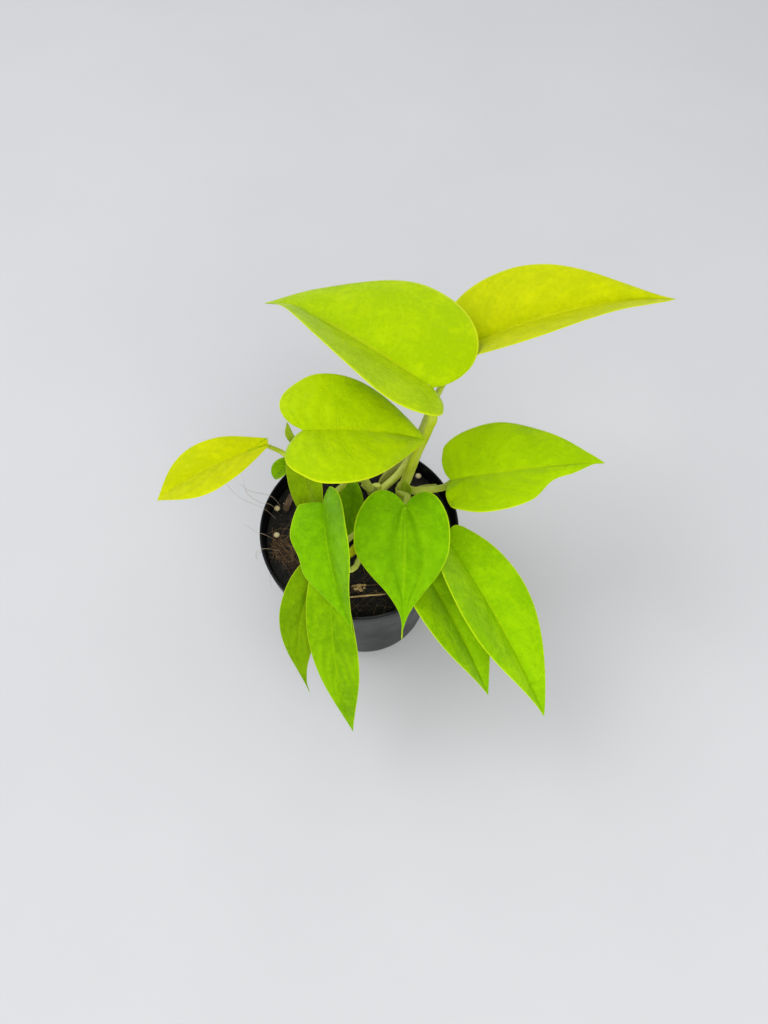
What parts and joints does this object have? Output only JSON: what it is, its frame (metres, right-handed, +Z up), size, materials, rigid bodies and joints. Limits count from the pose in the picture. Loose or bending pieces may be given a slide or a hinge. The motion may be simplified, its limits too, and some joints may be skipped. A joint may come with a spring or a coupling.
{
  "type": "potted pothos plant",
  "caption": "Young trailing houseplant with heart-shaped yellow-green leaves on thin stalks, growing from peat in a small round black plastic nursery pot.",
  "frame": {"origin": "centre of the pot's underside, on the face it rests on", "axes": "+Z up out of the pot; +X to the right and +Y to the back as the plant is seen from its front, where the longest leaves hang over the rim"},
  "size_m": [0.24, 0.1866, 0.1906],
  "materials": {
    "pot": "satin",
    "soil": "matte",
    "blade": "satin",
    "yellow_blade": "satin",
    "stalk": "satin",
    "stem": "satin",
    "sheath": "matte",
    "prill": "satin",
    "bark": "matte",
    "straw": "matte"
  },
  "bodies": {
    "root": {"bark_front": "bark", "bark_left": "bark", "leaf_back_left": "blade", "leaf_back_right": "yellow_blade", "leaf_far_left": "yellow_blade", "leaf_front_left": "blade", "leaf_front_left_long": "blade", "leaf_front_left_lower": "blade", "leaf_front_middle": "blade", "leaf_front_right": "blade", "leaf_front_right_lower": "blade", "leaf_inner_small": "blade", "leaf_left_hood": "blade", "leaf_left_under": "blade", "leaf_middle_left": "blade", "leaf_right": "blade", "new_leaf": "yellow_blade", "nursery_pot": "pot", "potting_soil": "soil", "prill_1": "prill", "prill_2": "prill", "prill_3": "prill", "prill_4": "prill", "sheath_middle": "stem", "sheath_right": "sheath", "sheath_tip_left": "stem", "sheath_tip_right": "stem", "stalk_back_left": "stalk", "stalk_back_right": "stalk", "stalk_far_left": "stalk", "stalk_front_left": "stalk", "stalk_front_left_long": "stalk", "stalk_front_left_lower": "stalk", "stalk_front_middle": "stalk", "stalk_front_right": "stalk", "stalk_front_right_lower": "stalk", "stalk_inner_small": "stalk", "stalk_left_hood": "stalk", "stalk_left_under": "stalk", "stalk_middle_left": "stalk", "stalk_right": "stalk", "stem_front": "stem", "stem_left": "stem", "stem_middle": "stem", "stem_right": "stem", "straw_front": "straw"}
  },
  "joints": []
}
